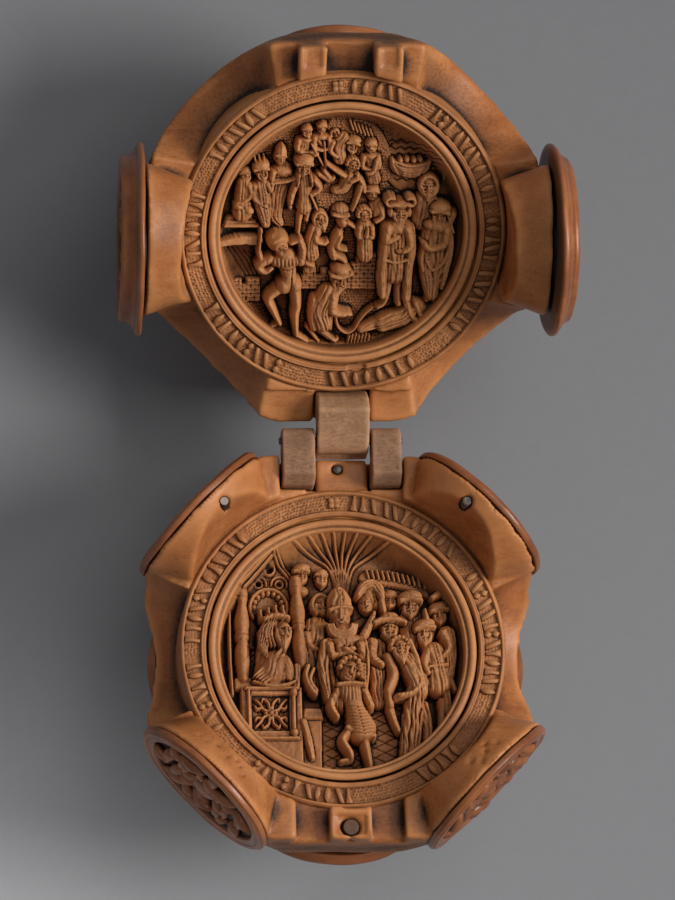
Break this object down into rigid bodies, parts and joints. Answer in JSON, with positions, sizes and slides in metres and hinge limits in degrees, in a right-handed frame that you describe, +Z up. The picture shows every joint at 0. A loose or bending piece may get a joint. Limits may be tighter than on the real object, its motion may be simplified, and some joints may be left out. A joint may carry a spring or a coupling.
{
  "type": "prayer nut",
  "caption": "Faceted boxwood ball of carved discs, standing open on its two domes as a wide V with a carved relief in each half.",
  "frame": {"origin": "on the floor, under the middle of the open nut, straight below the hinge pin", "axes": "+Y from the hinge to the latch of the upper half of the picture, +X to the right when that half is seen at the top, +Z up"},
  "size_m": [0.0566, 0.105, 0.0413],
  "materials": {
    "waxed_boxwood": "waxed, worn to a soft sheen on the edges",
    "polished_boxwood": "polished rims, dark hollows",
    "carved_boxwood": "matt, unpolished carving with dust-dark hollows",
    "hinge_wood": "matt, greyer replacement wood",
    "pale_peg": "matt end grain",
    "dark_iron": "dark, oxidised"
  },
  "bodies": {
    "lower_half": {"lower_shell": "waxed_boxwood", "lower_roundel": "carved_boxwood", "belt_disc_front_left": "polished_boxwood", "belt_disc_front_right": "polished_boxwood", "belt_disc_back_left": "polished_boxwood", "belt_disc_back_right": "polished_boxwood", "lower_slope_disc_front": "polished_boxwood", "lower_slope_disc_back": "polished_boxwood", "lower_slope_disc_left": "polished_boxwood", "lower_slope_disc_right": "polished_boxwood", "lower_pole_disc": "polished_boxwood", "hinge_knuckle_left": "hinge_wood", "hinge_knuckle_right": "hinge_wood", "hinge_pin": "dark_iron", "arm_peg_left": "pale_peg", "arm_peg_right": "pale_peg", "hinge_bed_nail": "dark_iron", "latch_plug": "hinge_wood"},
    "upper_half": {"upper_shell": "waxed_boxwood", "upper_roundel": "carved_boxwood", "belt_disc_left": "polished_boxwood", "belt_disc_right": "polished_boxwood", "upper_slope_disc_front": "polished_boxwood", "upper_slope_disc_back": "polished_boxwood", "upper_slope_disc_left": "polished_boxwood", "upper_slope_disc_right": "polished_boxwood", "upper_pole_disc": "polished_boxwood", "hinge_tongue": "hinge_wood"}
  },
  "joints": [
    {"name": "nut_hinge", "type": "hinge", "parent": "lower_half", "child": "upper_half", "pos_m": [0, 0, 0.0202], "axis": [1, 0, 0], "range_deg": [0, 149]}
  ]
}
